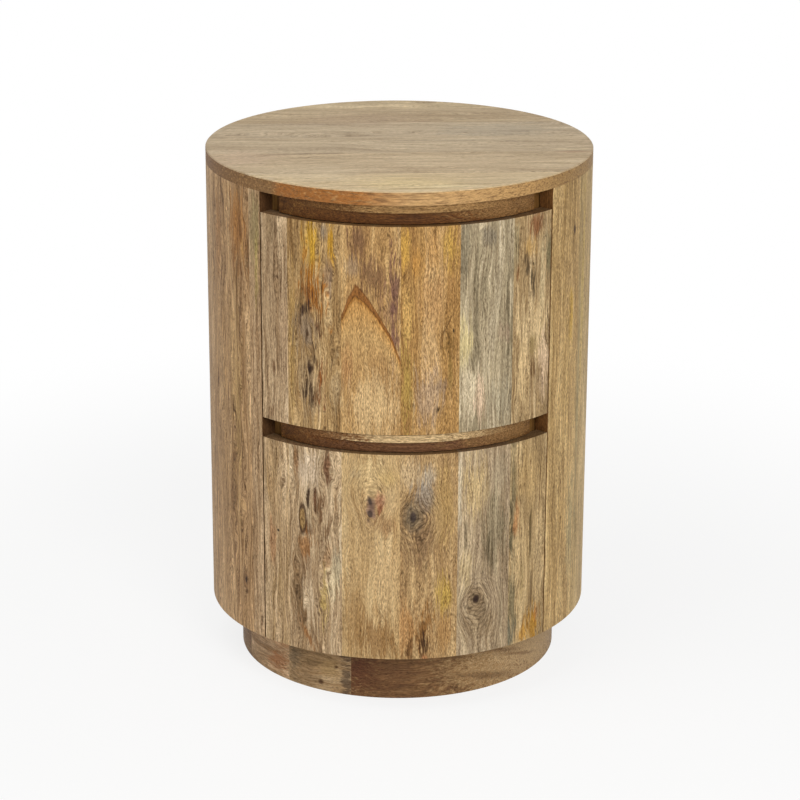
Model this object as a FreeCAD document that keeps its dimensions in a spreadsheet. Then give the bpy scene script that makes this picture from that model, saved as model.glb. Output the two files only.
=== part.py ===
import FreeCAD, Part
import Sketcher
import math
import os
import re

# Round two-drawer nightstand in solid wood, sizes in millimetres and degrees.
# The origin is on the floor at the middle of the plinth. +Z is up and the drawers open towards -Y.
# Angles round the axis count from the middle of the front, positive towards +X.

SIZES = {
    # the round body
    "outer_radius": 200,
    "top_thickness": 14,
    "top_edge_chamfer": 1,
    "shell_thickness": 18,
    "shell_stave_count": 14,
    "right_jamb_stave_angle": 16.4,
    "left_jamb_stave_angle": 4.8,
    "left_second_stave_angle": 12,
    "opening_half_angle": 46.6,
    "bottom_thickness": 12,
    # the plinth, a ring of short segments
    "plinth_setback": 31,
    "plinth_height": 58,
    "plinth_wall": 24,
    "plinth_segment_count": 14,
    "plinth_seam_angle": -45.3,
    # the drawer fronts, glued up from upright staves
    "lower_front_height": 222,
    "upper_front_height": 214,
    "front_clearance": 3,
    "front_side_gap": 1.5,
    "front_stave_count": 6,
    "front_first_stave_angle": 9.7,
    "front_last_stave_angle": 14.7,
    # the finger grooves and the rails that back them
    "finger_groove": 21,
    "rail_middle_recess": 2,
    "rail_end_recess": 12,
    "rail_width": 85,
    "rail_lip": 8,
    "rail_pocket_depth": 4.5,
    "rail_gap": 1,
    # the partitions beside the drawers
    "partition_jamb_inset": 6.2,
    "partition_thickness": 12,
    # the drawer boxes
    "side_thickness": 13,
    "side_drop": 27,
    "side_running_gap": 1.5,
    "side_rear_gap": 7.7,
    "box_floor_gap": 3,
    "back_thickness": 12,
    "back_inset": 5,
    "back_housing": 3,
    "floor_thickness": 6,
    "floor_lift": 12,
    "floor_housing": 5,
    "fit_gap": 0.2,
    # the wooden runners and their screws
    "runner_height": 16,
    "runner_thickness": 8.5,
    "runner_lift": 82,
    "runner_front_inset": 11.3,
    "runner_rear_inset": 16.3,
    "runner_play": 0.8,
    "runner_tip_gap": 0.5,
    "screw_radius": 1.75,
    "screw_head_radius": 3.5,
    "screw_head_height": 2.2,
    "screw_length": 18,
    "screw_end_margin": 25,
}

# Places that follow from the sizes.
PLACES = {
    # the body and the plinth
    "shell_inside": "outer_radius - shell_thickness",
    "shell_right_seam": "opening_half_angle + right_jamb_stave_angle",
    "shell_left_seam": "360 - opening_half_angle - left_jamb_stave_angle",
    "shell_second_seam": "shell_left_seam - left_second_stave_angle",
    "shell_pitch": "(shell_second_seam - shell_right_seam) / (shell_stave_count - 3)",
    "plinth_radius": "outer_radius - plinth_setback",
    "plinth_inside": "plinth_radius - plinth_wall",
    "plinth_pitch": "360 / plinth_segment_count",
    # the fronts, which are thinner than the shell so that they clear what is inside it
    "front_inside": "shell_inside + front_clearance",
    "front_half_angle": "opening_half_angle - asin(front_side_gap / outer_radius) / 1 deg",
    "front_first_seam": "front_first_stave_angle - front_half_angle",
    "front_last_seam": "front_half_angle - front_last_stave_angle",
    "front_stave_pitch": "(front_last_seam - front_first_seam) / (front_stave_count - 2)",
    # heights of the fronts and the finger grooves above them
    "lower_front_base": "plinth_height",
    "upper_front_base": "lower_front_base + lower_front_height + finger_groove",
    "top_underside": "upper_front_base + upper_front_height + finger_groove",
    "body_height": "top_underside - plinth_height",
    "partition_base": "plinth_height + bottom_thickness",
    # the rails' bow, an arc through the middle recess and the two end recesses
    "rail_middle": "outer_radius - rail_middle_recess",
    "rail_end": "outer_radius - rail_end_recess",
    "rail_end_depth": "rail_end * cos(opening_half_angle)",
    "rail_arc_offset": "(rail_middle^2 - rail_end^2) / (2 * (rail_middle - rail_end_depth))",
    "rail_arc_radius": "rail_middle - rail_arc_offset",
    "rail_pocket_radius": "rail_middle - rail_pocket_depth",
    "rail_back": "rail_middle - rail_width",
    # the partitions, set inwards from the jambs, and the runners along them
    "partition_half_space": "shell_inside * sin(opening_half_angle) - partition_jamb_inset",
    "partition_reach": "sqrt(shell_inside^2 - partition_half_space^2)",
    "runner_front": "partition_reach - runner_front_inset",
    "runner_rear": "partition_reach - runner_rear_inset",
    "runner_inner": "partition_half_space - runner_thickness",
    "groove_floor": "runner_inner - runner_tip_gap",
    # the drawer boxes, hung from the fronts
    "side_outer": "partition_half_space - side_running_gap",
    "side_inner": "side_outer - side_thickness",
    "side_rear": "sqrt(shell_inside^2 - side_outer^2) - side_rear_gap",
    "housing_radius": "front_inside + floor_housing",
    "lower_side_base": "partition_base + box_floor_gap",
    "lower_side_top": "lower_front_base + lower_front_height - side_drop",
    "lower_runner_base": "lower_side_base + runner_lift",
    "upper_side_base": "upper_front_base + bottom_thickness + box_floor_gap",
    "upper_side_top": "upper_front_base + upper_front_height - side_drop",
    "upper_runner_base": "upper_side_base + runner_lift",
}

DRAWERS = ("upper", "lower")
SIDES = {"left": -1, "right": 1}

doc = FreeCAD.newDocument("round_nightstand")
sheet = doc.addObject("Spreadsheet::Sheet", "dims")
WORK_CELL = "D1"
nodes = []


def fill_sheet():
    """Write the driving sizes as plain numbers, then the places as formulas, each under its own name."""
    cells = {name: str(size) for name, size in SIZES.items()}
    cells.update({name: "=" + formula for name, formula in PLACES.items()})
    for row, (name, content) in enumerate(cells.items(), start=1):
        sheet.set(f"A{row}", name)
        sheet.set(f"B{row}", content)
        sheet.setAlias(f"B{row}", name)
    doc.recompute()


def number(formula):
    """The value of a formula of sheet names, for the first draft of a sketch."""
    sheet.set(WORK_CELL, "=" + formula)
    sheet.recompute()
    return float(sheet.get(WORK_CELL))


def bind(item, formulas):
    """Tie properties of an object to formulas of sheet names."""
    for path, formula in formulas.items():
        item.setExpression(path, re.sub(r"[a-z]+(_[a-z]+)+", r"dims.\g<0>", formula))


def turned(base, angle):
    """Formula of a placement that stands at a height and is turned about the axis."""
    return f"placement(vector(0; 0; {base}); rotation(vector(0; 0; 1); {angle}))"


def keep(item, name):
    """Name an object as a node of the part."""
    item.Label = name
    nodes.append(item)
    return item


def point(x, y):
    return FreeCAD.Vector(x, y, 0)


def new_sketch(body, name):
    """A sketch on the body's own horizontal plane."""
    sketch = body.newObject("Sketcher::SketchObject", name)
    plane = next(item for item in body.Origin.OriginFeatures if item.Role == "XY_Plane")
    sketch.AttachmentSupport = [(plane, "")]
    sketch.MapMode = "FlatFace"
    return sketch


def dimension(sketch, name, formula, kind, *places):
    """Add a named dimension to a sketch and tie it to a formula."""
    index = sketch.addConstraint(Sketcher.Constraint(kind, *places, number(formula)))
    sketch.renameConstraint(index, name)
    bind(sketch, {f"Constraints.{name}": formula})


def pad(body, sketch, height):
    feature = body.newObject("PartDesign::Pad", body.Name + "_pad")
    feature.Profile = sketch
    bind(feature, {"Length": height})
    return feature


def circle_sketch(body, name, radii):
    """Concentric circles about the axis, each tied to its own radius."""
    sketch = new_sketch(body, name)
    for index, radius in enumerate(radii):
        circle = Part.Circle(point(0, 0), FreeCAD.Vector(0, 0, 1), number(radius))
        sketch.addGeometry(circle, False)
        sketch.addConstraint(Sketcher.Constraint("Coincident", index, 3, -1, 1))
        dimension(sketch, f"radius_{index}", radius, "Radius", index)
    return sketch


def edges_at(shape, height, radius):
    """Names of the round edges of one radius that lie at one height."""
    found = []
    for index, edge in enumerate(shape.Edges, start=1):
        level = edge.BoundBox.ZLength < 1e-6 and abs(edge.BoundBox.ZMin - height) < 1e-6
        if level and isinstance(edge.Curve, Part.Circle) and abs(edge.Curve.Radius - radius) < 1e-6:
            found.append(f"Edge{index}")
    return found


def stave(name, outside, inside, half_angle, mid_angle, base, height):
    """One coopered stave: round outside, flat inside as sawn, with edges bevelled to the axis."""
    body = doc.addObject("PartDesign::Body", name)
    sketch = new_sketch(body, name + "_outline")
    half = math.radians(number(half_angle))
    radius, flat = number(outside), number(inside)
    arc = Part.Circle(point(0, 0), FreeCAD.Vector(0, 0, 1), radius)
    outer_left = point(-radius * math.sin(half), -radius * math.cos(half))
    outer_right = point(radius * math.sin(half), -radius * math.cos(half))
    inner_right = point(flat * math.tan(half), -flat)
    inner_left = point(-flat * math.tan(half), -flat)
    sketch.addGeometry([
        Part.ArcOfCircle(arc, -math.pi / 2 - half, -math.pi / 2 + half),
        Part.LineSegment(outer_right, inner_right),
        Part.LineSegment(inner_right, inner_left),
        Part.LineSegment(inner_left, outer_left),
    ], False)
    sketch.addConstraint([
        Sketcher.Constraint("Coincident", 0, 3, -1, 1),
        Sketcher.Constraint("Coincident", 0, 2, 1, 1),
        Sketcher.Constraint("Coincident", 1, 2, 2, 1),
        Sketcher.Constraint("Coincident", 2, 2, 3, 1),
        Sketcher.Constraint("Coincident", 3, 2, 0, 1),
        Sketcher.Constraint("Symmetric", 2, 1, 2, 2, -2),
        Sketcher.Constraint("PointOnObject", -1, 1, 1),
        Sketcher.Constraint("PointOnObject", -1, 1, 3),
    ])
    dimension(sketch, "outside", outside, "Radius", 0)
    dimension(sketch, "inside", inside, "DistanceY", 2, 1, -1, 1)
    dimension(sketch, "width", f"2 * ({outside}) * sin({half_angle})", "DistanceX", 0, 1, 0, 2)
    pad(body, sketch, height)
    bind(body, {"Placement": turned(base, mid_angle)})
    return body


def board(name, x_low, x_high, y_low, y_high, z_low, z_high):
    """A square-edged board between two formulas on each axis."""
    box = doc.addObject("Part::Box", name)
    bind(box, {
        "Length": f"({x_high}) - ({x_low})",
        "Width": f"({y_high}) - ({y_low})",
        "Height": f"({z_high}) - ({z_low})",
        "Placement.Base.x": x_low,
        "Placement.Base.y": y_low,
        "Placement.Base.z": z_low,
    })
    return box


def drum(name, radius, z_low, z_high):
    """A solid cylinder about the axis, as a piece or as a tool."""
    cylinder = doc.addObject("Part::Cylinder", name)
    bind(cylinder, {"Radius": radius, "Height": f"({z_high}) - ({z_low})", "Placement.Base.z": z_low})
    return cylinder


def common(name, base, tool):
    result = doc.addObject("Part::Common", name)
    result.Base = base
    result.Tool = tool
    return result


def fuse(name, shapes):
    result = doc.addObject("Part::MultiFuse", name)
    result.Shapes = shapes
    return result


def cut(name, base, tool):
    result = doc.addObject("Part::Cut", name)
    result.Base = base
    result.Tool = tool
    return result


def across(sign, inner, outer):
    """The low and high x of a piece between two distances from the middle, on one side of it."""
    return (inner, outer) if sign > 0 else (f"-({outer})", f"-({inner})")


def make_top():
    """The round top, with its upper edge eased."""
    body = doc.addObject("PartDesign::Body", "top_panel")
    slab = pad(body, circle_sketch(body, "top_outline", ["outer_radius"]), "top_thickness")
    doc.recompute()
    rim = edges_at(slab.Shape, number("top_thickness"), number("outer_radius"))
    easing = body.newObject("PartDesign::Chamfer", "top_easing")
    easing.Base = (slab, rim)
    bind(easing, {"Size": "top_edge_chamfer"})
    bind(body, {"Placement.Base.z": "top_underside"})
    keep(body, "top_panel")


def make_shell():
    """Upright staves from the right jamb of the opening round the back to the left one.

    The staves beside the jambs have widths of their own and the rest are even.
    """
    even_count = SIZES["shell_stave_count"] - 3
    even_seams = [f"shell_right_seam + {index} * shell_pitch" for index in range(even_count)]
    left_seams = ["shell_second_seam", "shell_left_seam"]
    edges = ["opening_half_angle", *even_seams, *left_seams, "360 - opening_half_angle"]
    for index, (start, end) in enumerate(zip(edges, edges[1:]), start=1):
        name = f"shell_stave_{index:02d}"
        keep(stave(name, "outer_radius", "shell_inside", f"(({end}) - ({start})) / 2",
                   f"(({start}) + ({end})) / 2", "plinth_height", "body_height"), name)


def make_plinth():
    """A ring of short segments that stands back under the body."""
    for index in range(SIZES["plinth_segment_count"]):
        middle = f"plinth_seam_angle + {index + 0.5} * plinth_pitch"
        name = f"plinth_segment_{index + 1:02d}"
        keep(stave(name, "plinth_radius", "plinth_inside", "plinth_pitch / 2", middle,
                   "0", "plinth_height"), name)


def make_bottom():
    """The round bottom panel, which lies on the plinth inside the shell."""
    keep(drum("bottom_panel", "shell_inside - fit_gap", "plinth_height", "partition_base"), "bottom_panel")


def rail_outline(body):
    """Board outline of a rail: bowed front edge, square ends and a straight back."""
    sketch = new_sketch(body, body.Name + "_outline")
    reach, offset = number("partition_half_space"), number("rail_arc_offset")
    radius, back = number("rail_arc_radius"), number("rail_back")
    spread = math.asin(reach / radius)
    front = offset + radius * math.cos(spread)
    arc = Part.Circle(point(0, -offset), FreeCAD.Vector(0, 0, 1), radius)
    sketch.addGeometry([
        Part.ArcOfCircle(arc, -math.pi / 2 - spread, -math.pi / 2 + spread),
        Part.LineSegment(point(reach, -front), point(reach, -back)),
        Part.LineSegment(point(reach, -back), point(-reach, -back)),
        Part.LineSegment(point(-reach, -back), point(-reach, -front)),
    ], False)
    sketch.addConstraint([
        Sketcher.Constraint("Coincident", 0, 2, 1, 1),
        Sketcher.Constraint("Coincident", 1, 2, 2, 1),
        Sketcher.Constraint("Coincident", 2, 2, 3, 1),
        Sketcher.Constraint("Coincident", 3, 2, 0, 1),
        Sketcher.Constraint("PointOnObject", 0, 3, -2),
        Sketcher.Constraint("Vertical", 1),
        Sketcher.Constraint("Vertical", 3),
        Sketcher.Constraint("Symmetric", 2, 1, 2, 2, -2),
    ])
    dimension(sketch, "bow", "rail_arc_radius", "Radius", 0)
    dimension(sketch, "bow_middle", "rail_arc_offset", "DistanceY", 0, 3, -1, 1)
    dimension(sketch, "back", "rail_back", "DistanceY", 2, 1, -1, 1)
    dimension(sketch, "length", "2 * partition_half_space", "DistanceX", 2, 2, 2, 1)
    return sketch


def make_rail(name, base, height):
    """A bowed rail with a finger pocket under its lip.

    The pocket follows the drum and the lip has a tighter bow, so the pocket is deepest at the middle
    and runs out before the rail's ends.
    """
    body = doc.addObject("PartDesign::Body", name)
    blank = pad(body, rail_outline(body), height)
    pocket = body.newObject("PartDesign::Pocket", name + "_pocket")
    pocket.Profile = circle_sketch(body, name + "_pocket_outline", ["outer_radius", "rail_pocket_radius"])
    pocket.Reversed = True
    bind(pocket, {"Length": f"{height} - rail_lip"})
    doc.recompute()
    if pocket.Shape.Volume >= blank.Shape.Volume:
        raise RuntimeError(name + ": the finger pocket removes no wood")
    bind(body, {"Placement.Base.z": base})
    keep(body, name)


def make_rails():
    """One rail under the top and one between the drawers."""
    make_rail("top_rail", "top_underside - finger_groove + rail_gap", "(finger_groove - rail_gap)")
    make_rail("middle_rail", "upper_front_base - finger_groove + rail_gap", "(finger_groove - 2 * rail_gap)")


def screw(name, sign, y, z, extra):
    """A countersunk screw driven outwards from a runner's face, or its hole if there is an extra."""
    parts = []
    sizes = {
        "head": ("Part::Cone", "0", f"screw_head_height + {extra}"),
        "shank": ("Part::Cylinder", "screw_head_height", f"screw_length - screw_head_height + {extra}"),
    }
    for label, (kind, start, length) in sizes.items():
        part = doc.addObject(kind, f"{name}_{label}")
        part.Placement.Rotation = FreeCAD.Rotation(FreeCAD.Vector(0, 1, 0), 90 * sign)
        bind(part, {
            "Height": length,
            "Placement.Base.x": f"{sign} * (runner_inner + {start})",
            "Placement.Base.y": y,
            "Placement.Base.z": z,
        })
        parts.append(part)
    head, shank = parts
    bind(head, {"Radius1": f"screw_head_radius + {extra}", "Radius2": f"screw_radius + {extra}"})
    bind(shank, {"Radius": f"screw_radius + {extra}"})
    return fuse(name, parts)


def screw_pair(prefix, drawer, side, extra):
    """The two screws of one runner, one near each end."""
    name = f"{drawer}_{prefix}_{side}"
    height = f"{drawer}_runner_base + runner_height / 2"
    front = screw(f"{name}_front", SIDES[side], "screw_end_margin - runner_front", height, extra)
    rear = screw(f"{name}_rear", SIDES[side], "runner_rear - screw_end_margin", height, extra)
    return [front, rear]


def make_runners():
    """A partition on each side, trimmed to the shell, with one runner per drawer screwed to it."""
    screws = []
    for side, sign in SIDES.items():
        plate = board(f"{side}_plate",
                      *across(sign, "partition_half_space", "partition_half_space + partition_thickness"),
                      "-shell_inside", "shell_inside", "partition_base", "top_underside")
        bore = drum(f"{side}_shell_bore", "shell_inside - fit_gap", "partition_base", "top_underside")
        holes = []
        for drawer in DRAWERS:
            tool = fuse(f"{drawer}_{side}_screw_holes", screw_pair("screw_hole", drawer, side, "fit_gap / 2"))
            strip = board(f"{drawer}_{side}_strip", *across(sign, "runner_inner", "partition_half_space"),
                          "-runner_front", "runner_rear",
                          f"{drawer}_runner_base", f"{drawer}_runner_base + runner_height")
            keep(cut(f"{drawer}_runner_{side}", strip, tool), f"{drawer}_runner_{side}")
            screws += screw_pair("screw", drawer, side, "0")
            holes.append(tool)
        panel = common(f"{side}_panel", plate, bore)
        keep(cut(f"partition_{side}", panel, fuse(f"{side}_holes", holes)), f"partition_{side}")
    group = doc.addObject("Part::Compound", "runner_screws")
    group.Links = screws
    keep(group, "runner_screws")


def floor_heights(drawer):
    """The lower and upper face of a drawer's floor panel."""
    low = f"{drawer}_side_base + floor_lift"
    return low, f"{low} + floor_thickness"


def make_side(drawer, side):
    """A drawer side, housed into the curved front and grooved for the runner, the back and the floor."""
    sign = SIDES[side]
    low, high = f"{drawer}_side_base", f"{drawer}_side_top"
    floor_low, floor_high = floor_heights(drawer)
    inside = "side_inner - fit_gap"
    blank = board(f"{drawer}_{side}_blank", *across(sign, "side_inner", "side_outer"),
                  "-housing_radius", "side_rear", low, high)
    scribe = drum(f"{drawer}_{side}_scribe", "housing_radius - fit_gap", low, high)
    grooves = [
        board(f"{drawer}_{side}_runner_groove", *across(sign, "groove_floor", "side_outer + fit_gap"),
              "-runner_front - runner_tip_gap", "side_rear + fit_gap",
              f"{drawer}_runner_base - runner_play", f"{drawer}_runner_base + runner_height"),
        board(f"{drawer}_{side}_back_groove", *across(sign, inside, "side_inner + back_housing"),
              "side_rear - back_inset - back_thickness", "side_rear - back_inset",
              floor_low, f"{high} + fit_gap"),
        board(f"{drawer}_{side}_floor_groove", *across(sign, inside, "side_inner + floor_housing"),
              "-housing_radius", "side_rear - back_inset", floor_low, floor_high),
    ]
    scribed = common(f"{drawer}_{side}_scribed", blank, scribe)
    name = f"{drawer}_drawer_side_{side}"
    keep(cut(name, scribed, fuse(f"{drawer}_{side}_grooves", grooves)), name)


def make_back(drawer):
    """The drawer's back, which stands on the floor panel between the two sides."""
    reach = "side_inner + back_housing - fit_gap"
    name = f"{drawer}_drawer_back"
    keep(board(name, f"-({reach})", reach,
               "side_rear - back_inset - back_thickness", "side_rear - back_inset",
               floor_heights(drawer)[1], f"{drawer}_side_top"), name)


def make_floor(drawer):
    """The drawer's floor panel, with a round front edge that runs into the groove of the front."""
    reach = "side_inner + floor_housing - fit_gap"
    low, high = floor_heights(drawer)
    blank = board(f"{drawer}_floor_blank", f"-({reach})", reach,
                  "-housing_radius", "side_rear - back_inset", low, high)
    scribe = drum(f"{drawer}_floor_scribe", "housing_radius - fit_gap", low, high)
    name = f"{drawer}_drawer_floor"
    keep(common(name, blank, scribe), name)


def front_housing(drawer):
    """What is cut out of the back of a front: a curved groove for the floor and a slot for each side."""
    low, high = f"{drawer}_side_base", f"{drawer}_side_top"
    cuts = [drum(f"{drawer}_floor_housing", "housing_radius", *floor_heights(drawer))]
    for side, sign in SIDES.items():
        slot = board(f"{drawer}_{side}_slot", *across(sign, "side_inner", "side_outer"),
                     "-housing_radius", "0", low, high)
        bore = drum(f"{drawer}_{side}_slot_bore", "housing_radius", low, high)
        cuts.append(common(f"{drawer}_{side}_housing", slot, bore))
    return fuse(f"{drawer}_housing", cuts)


def make_front(drawer):
    """A curved drawer front of upright staves, all sawn from one glued-up panel."""
    seam_count = SIZES["front_stave_count"] - 1
    seams = [f"front_first_seam + {index} * front_stave_pitch" for index in range(seam_count)]
    edges = ["-front_half_angle", *seams, "front_half_angle"]
    housing = front_housing(drawer)
    for index, (start, end) in enumerate(zip(edges, edges[1:]), start=1):
        name = f"{drawer}_front_stave_{index}"
        blank = stave(f"{name}_blank", "outer_radius", "front_inside", f"(({end}) - ({start})) / 2",
                      f"(({start}) + ({end})) / 2", f"{drawer}_front_base", f"{drawer}_front_height")
        keep(cut(name, blank, housing), name)


def make_drawer(drawer):
    make_front(drawer)
    for side in SIDES:
        make_side(drawer, side)
    make_back(drawer)
    make_floor(drawer)


def check_and_write():
    """Stop if anything failed to build, then write each node's shape to a file of its own."""
    for item in doc.Objects:
        if "Invalid" in item.State or "Error" in item.State:
            raise RuntimeError(f"{item.Label}: {item.State}")
    for item in nodes:
        if item.Shape.isNull() or not item.Shape.isValid() or not item.Shape.Solids:
            raise RuntimeError(f"{item.Label}: no valid solid")
    os.makedirs("parts", exist_ok=True)
    for item in nodes:
        item.Shape.exportStep(f"parts/{item.Label}.step")


fill_sheet()
make_top()
make_shell()
make_bottom()
make_plinth()
make_rails()
make_runners()
for drawer in DRAWERS:
    make_drawer(drawer)
doc.recompute()
check_and_write()
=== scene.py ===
import math

import bpy
from mathutils import Matrix, Vector

# Round nightstand of coopered mango wood: looks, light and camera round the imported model.
# Sizes are metres in space and millimetres inside the wood patterns.

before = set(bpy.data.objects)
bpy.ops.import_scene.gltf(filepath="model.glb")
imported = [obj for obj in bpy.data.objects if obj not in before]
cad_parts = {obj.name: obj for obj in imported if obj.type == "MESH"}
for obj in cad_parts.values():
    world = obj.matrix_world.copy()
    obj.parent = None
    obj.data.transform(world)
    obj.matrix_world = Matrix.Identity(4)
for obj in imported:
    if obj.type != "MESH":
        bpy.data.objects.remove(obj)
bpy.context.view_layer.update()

# Millimetres in a metre, and the turned faces of the drum and the plinth in millimetres.
MM = 1000.0
DRUM_RADIUS = 200.0
PLINTH_RADIUS = 169.0
# The axis that the grain runs along: left to right in a board, front to back in a drawer's side or a runner,
# and up a stave.
GRAIN_AXIS = {"board": 0, "side": 1, "stave": 2}
# Width of a flake of the zinc.
SPANGLE = 1.2
# A mark goes right through its board, so it is as good as endless in depth.
MARK_DEPTH = 1e6
# The two edges of a strip are soft over this half width.
STRIP_EDGE = 0.3
# Levels of the streaks at which a board shows its dark, middle and pale tone.
TONE_LEVELS = (0.37, 0.5, 0.63)
# Shares of quick streaks in a board's tone, of its own tone in a glued board, and of thin strokes where a
# mark frays out.
QUICK_SHARE = 0.45
BOARD_SHARE = 0.6
WHISKER_SHARE = 0.55
# A vein holds this share of the red, green and blue round it.
VEIN_SHADE = (0.62, 0.55, 0.46)
# Relief of the fibres and pores under the lacquer: its strength, and its depth in metres.
RELIEF = 0.3
RELIEF_DEPTH = 0.0003
# Boards that are glued side by side take their grain from places up to this far apart.
BOARD_JUMP = 1700.0


def linear(code, alpha=1.0):
    """sRGB hex to the linear colour that a shader takes."""
    parts = [int(code[i:i + 2], 16) / 255 for i in (1, 3, 5)]
    return (*[c / 12.92 if c <= 0.04045 else ((c + 0.055) / 1.055) ** 2.4 for c in parts], alpha)


def add(tree, kind, sockets=None, tones=(), **settings):
    """Add a node with its settings.

    A socket takes a number, a colour, a socket, or a node, which gives its first live output.
    Tones are pairs of a place from 0 to 1 and a colour, for a node that lays colours along a value.
    In a Mix node, socket 0 is the share, 2 and 3 take the two numbers, and 6 and 7 the two colours.
    """
    made = tree.nodes.new(kind)
    for name, value in settings.items():
        setattr(made, name, value)
    for name, value in (sockets or {}).items():
        if isinstance(value, bpy.types.Node):
            value = next(out for out in value.outputs if out.enabled)
        if isinstance(value, bpy.types.NodeSocket):
            tree.links.new(value, made.inputs[name])
        else:
            made.inputs[name].default_value = value
    for index, (place, colour) in enumerate(tones):
        stops = made.color_ramp.elements
        if index == 0:
            stops.remove(stops[1])
        stop = stops.new(place) if index else stops[0]
        stop.position = place
        stop.color = colour
    return made


def empty_material(name):
    """A material without nodes, and its tree."""
    material = bpy.data.materials.new(name)
    material.use_nodes = True
    material.node_tree.nodes.clear()
    return material, material.node_tree


# Wood patterns

def turn_back(tree, vector, angle):
    """A vector turned round the drum's axis, as if its board stood in the middle of the front."""
    return add(tree, "ShaderNodeVectorRotate", {"Vector": vector, "Axis": (0, 0, 1), "Angle": -angle},
               rotation_type="AXIS_ANGLE")


def lay_out(tree, layout, angle, radius):
    """Millimetres across, through and along the grain at each point of a board.

    The grain of a stave runs up the drum, and that of a ring runs round it.
    """
    point = add(tree, "ShaderNodeTexCoord").outputs["Object"]
    if layout in ("board", "side"):
        part = add(tree, "ShaderNodeSeparateXYZ", {0: point}).outputs
        order = (1, 2, 0) if layout == "board" else (2, 0, 1)
        place = add(tree, "ShaderNodeCombineXYZ", {index: part[axis] for index, axis in enumerate(order)})
        return add(tree, "ShaderNodeVectorMath", {0: place, "Scale": MM}, operation="SCALE")
    part = add(tree, "ShaderNodeSeparateXYZ", {0: turn_back(tree, point, angle)}).outputs
    outward = add(tree, "ShaderNodeMath", {0: part[1], 1: -1.0}, operation="MULTIPLY")
    bend = add(tree, "ShaderNodeMath", {0: part[0], 1: outward}, operation="ARCTAN2")
    arc = add(tree, "ShaderNodeMath", {0: bend, 1: radius}, operation="MULTIPLY")
    depth = add(tree, "ShaderNodeMath", {0: outward, 1: MM}, operation="MULTIPLY")
    height = add(tree, "ShaderNodeMath", {0: part[2], 1: MM}, operation="MULTIPLY")
    order = (arc, depth, height) if layout == "stave" else (height, depth, arc)
    return add(tree, "ShaderNodeCombineXYZ", dict(enumerate(order)))


def streaks(tree, flow, width, length, seed, detail=2.0):
    """Noise drawn out along the grain: streaks of a width and a length in millimetres."""
    spread = add(tree, "ShaderNodeMapping", {
        "Vector": flow, "Location": (seed * 3.7, seed * 1.3, seed * 5.1),
        "Scale": (1 / width, 1 / width, 1 / length)})
    return add(tree, "ShaderNodeTexNoise", {
        "Vector": spread, "Scale": 1.0, "Detail": detail, "Roughness": 0.55})


def fade(tree, value, full, none, strength=1.0):
    """Strength where a value reaches full, easing to nothing at none."""
    return add(tree, "ShaderNodeMapRange", {
        "Value": value, "From Min": none, "From Max": full, "To Min": 0.0, "To Max": strength},
        interpolation_type="SMOOTHSTEP")


def tint(tree, colour, tone, amount):
    """A colour with an amount of a tone laid over it."""
    return add(tree, "ShaderNodeMix", {0: amount, 6: colour, 7: linear(tone)}, data_type="RGBA")


def frayed(tree, value, fray, amount):
    """A value that breaks up along the fibres."""
    loose = add(tree, "ShaderNodeMath", {0: fray, 1: 0.5}, operation="SUBTRACT")
    return add(tree, "ShaderNodeMath", {0: loose, 1: amount, 2: value}, operation="MULTIPLY_ADD")


def move_across(tree, flow, distance):
    """Grain that is moved across by a distance."""
    shift = add(tree, "ShaderNodeCombineXYZ", {0: distance})
    return add(tree, "ShaderNodeVectorMath", {0: flow, 1: shift}, operation="ADD")


def sway_grain(tree, flow, width, length, seed, reach):
    """Grain that wanders sideways by up to a reach, in waves of a width and a length."""
    return move_across(tree, flow, frayed(tree, 0.0, streaks(tree, flow, width, length, seed), 2 * reach))


def spot_field(tree, flow, mark):
    """Place relative to a mark, and the distance from it, in units of its half width and half length."""
    local = add(tree, "ShaderNodeMapping", {
        "Vector": flow, "Location": (mark["across"], 0, mark["along"]),
        "Rotation": (0, math.radians(mark.get("lean", 0)), 0),
        "Scale": (mark["half_width"], MARK_DEPTH, mark["half_length"])}, vector_type="TEXTURE")
    return local, add(tree, "ShaderNodeVectorMath", {0: local}, operation="LENGTH").outputs["Value"]


def part_round(tree, flow, mark):
    """Grain that parts and flows round a knot."""
    local, far = spot_field(tree, flow, mark)
    pull = fade(tree, far, full=0.5, none=3.6, strength=-0.8 * mark["half_width"])
    across = add(tree, "ShaderNodeSeparateXYZ", {0: local}).outputs[0]
    return move_across(tree, flow, add(tree, "ShaderNodeMath", {0: across, 1: pull}, operation="MULTIPLY"))


def draw_stain(tree, colour, flow, fray, mark):
    """A patch of another tone that fades out in flames along the fibres.

    The more bare wood it has, the more it breaks into single strokes.
    """
    far = frayed(tree, spot_field(tree, flow, mark)[1], fray, mark["fray"])
    bare = mark["bare"]
    amount = fade(tree, far, full=0.35 - bare, none=1.3 - bare, strength=mark["strength"])
    return tint(tree, colour, mark["tone"], amount)


def draw_eye(tree, colour, flow, fray, mark):
    """A healed spot: an oval of another tone with a dark outline."""
    far = frayed(tree, spot_field(tree, flow, mark)[1], fray, amount=0.7)
    inside = fade(tree, far, full=0.7, none=1.0, strength=mark["inside_strength"])
    colour = tint(tree, colour, mark["inside"], inside)
    rim = add(tree, "ShaderNodeMath", {0: far, 1: 1.0}, operation="SUBTRACT")
    off_line = add(tree, "ShaderNodeMath", {0: rim}, operation="ABSOLUTE")
    outline = fade(tree, off_line, full=0.04, none=mark["line"], strength=mark["strength"])
    return tint(tree, colour, mark["tone"], outline)


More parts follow.
